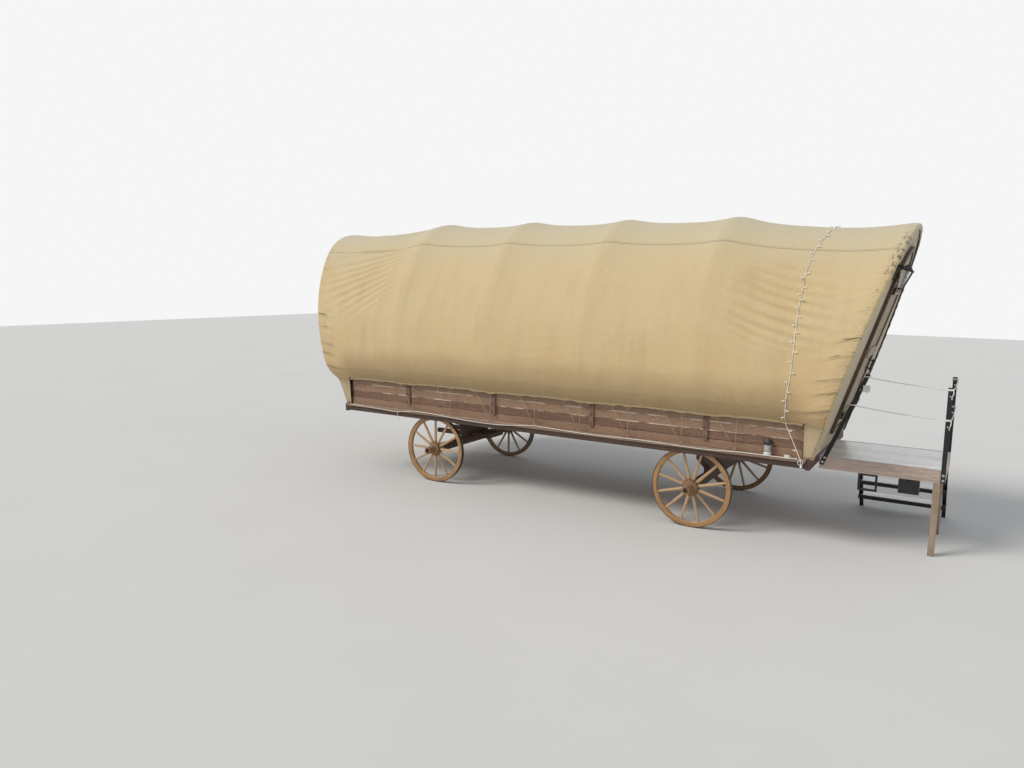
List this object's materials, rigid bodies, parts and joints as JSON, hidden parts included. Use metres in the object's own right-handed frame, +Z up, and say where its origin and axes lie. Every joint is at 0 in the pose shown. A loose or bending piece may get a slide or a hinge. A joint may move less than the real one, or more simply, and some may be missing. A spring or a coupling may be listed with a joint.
{
  "type": "covered wagon",
  "caption": "Covered wagon with a canvas cover on leaning end bows, boarded sides, spoked wooden wheels, a steering front axle, an arched rear door and a porch with steps.",
  "frame": {"origin": "on the ground below the middle of the whole object's box", "axes": "+X from the front to the porch, +Y to the far side, +Z up"},
  "size_m": [8.6516, 2.6522, 3.638],
  "materials": {
    "wheel_wood": "varnished honey-brown wood",
    "tyre_steel": "dark worn flat steel",
    "gear_wood": "dark stained timber",
    "gear_steel": "black painted steel",
    "rim_wood": "dark brown stained beam",
    "board_wood": "reddish brown stained boards",
    "ledge_wood": "light worn ledge",
    "floor_wood": "plain planks",
    "canvas": "tan cotton canvas",
    "wall_canvas": "grey-beige canvas on a panel",
    "casing_wood": "dark brown casing",
    "door_wood": "tan boarded door",
    "hardware_steel": "black powder coat",
    "lantern_glass": "clear glass",
    "bow_wood": "bent ash",
    "deck_wood": "grey weathered boards",
    "leg_wood": "weathered posts",
    "tread_wood": "weathered treads",
    "box_plastic": "black plastic"
  },
  "bodies": {
    "wagon": {"rear_axle_beam": "gear_wood", "rear_axle_arms": "gear_steel", "rear_bolster": "gear_wood", "turntable_upper": "gear_steel", "upper_bolster": "gear_wood", "king_pin": "gear_steel", "bed_frame": "rim_wood", "main_beams": "gear_wood", "bed_floor": "floor_wood", "ledges": "ledge_wood", "end_beams": "rim_wood", "box_side_near": "board_wood", "box_side_far": "board_wood", "battens_near": "board_wood", "battens_far": "board_wood", "canvas_cover": "canvas", "bows": "bow_wood", "end_wall_rear": "wall_canvas", "end_wall_front": "wall_canvas", "door_casing": "casing_wood", "hinge_pins": "hardware_steel", "lantern_cage": "hardware_steel", "lantern_glass": "lantern_glass", "porch_deck": "deck_wood", "porch_frame": "leg_wood", "porch_legs": "leg_wood", "rail_posts_outer": "hardware_steel", "rail_post_inner": "hardware_steel", "steps_frame": "hardware_steel", "step_treads": "tread_wood", "hanger_bracket": "hardware_steel", "switch_box": "box_plastic"},
    "front_near_wheel": {"wheel_front_near": "wheel_wood", "tyre_front_near": "tyre_steel"},
    "front_far_wheel": {"wheel_front_far": "wheel_wood", "tyre_front_far": "tyre_steel"},
    "rear_near_wheel": {"wheel_rear_near": "wheel_wood", "tyre_rear_near": "tyre_steel"},
    "rear_far_wheel": {"wheel_rear_far": "wheel_wood", "tyre_rear_far": "tyre_steel"},
    "front_gear": {"front_axle_beam": "gear_wood", "front_axle_arms": "gear_steel", "front_bolster": "gear_wood", "front_hounds": "gear_wood", "turntable_lower": "gear_steel"},
    "door": {"door": "door_wood", "hinge_straps": "hardware_steel", "door_handle": "hardware_steel"}
  },
  "joints": [
    {"name": "steering", "type": "hinge", "parent": "wagon", "child": "front_gear", "pos_m": [-1.94724, 0, 0.7], "axis": [0, 0, 1], "range_deg": [-35, 35]},
    {"name": "front_near_spin", "type": "hinge", "parent": "front_gear", "child": "front_near_wheel", "pos_m": [-1.94724, -0.988, 0.469], "axis": [0, 1, 0], "continuous": true},
    {"name": "front_far_spin", "type": "hinge", "parent": "front_gear", "child": "front_far_wheel", "pos_m": [-1.94724, 0.988, 0.469], "axis": [0, 1, 0], "continuous": true},
    {"name": "rear_near_spin", "type": "hinge", "parent": "wagon", "child": "rear_near_wheel", "pos_m": [1.76276, -0.988, 0.475], "axis": [0, 1, 0], "continuous": true},
    {"name": "rear_far_spin", "type": "hinge", "parent": "wagon", "child": "rear_far_wheel", "pos_m": [1.76276, 0.988, 0.475], "axis": [0, 1, 0], "continuous": true},
    {"name": "door_hinge", "type": "hinge", "parent": "wagon", "child": "door", "pos_m": [3.46087, -0.368, 2.02905], "axis": [-0.2957, 0, -0.9553], "range_deg": [0, 95]}
  ]
}
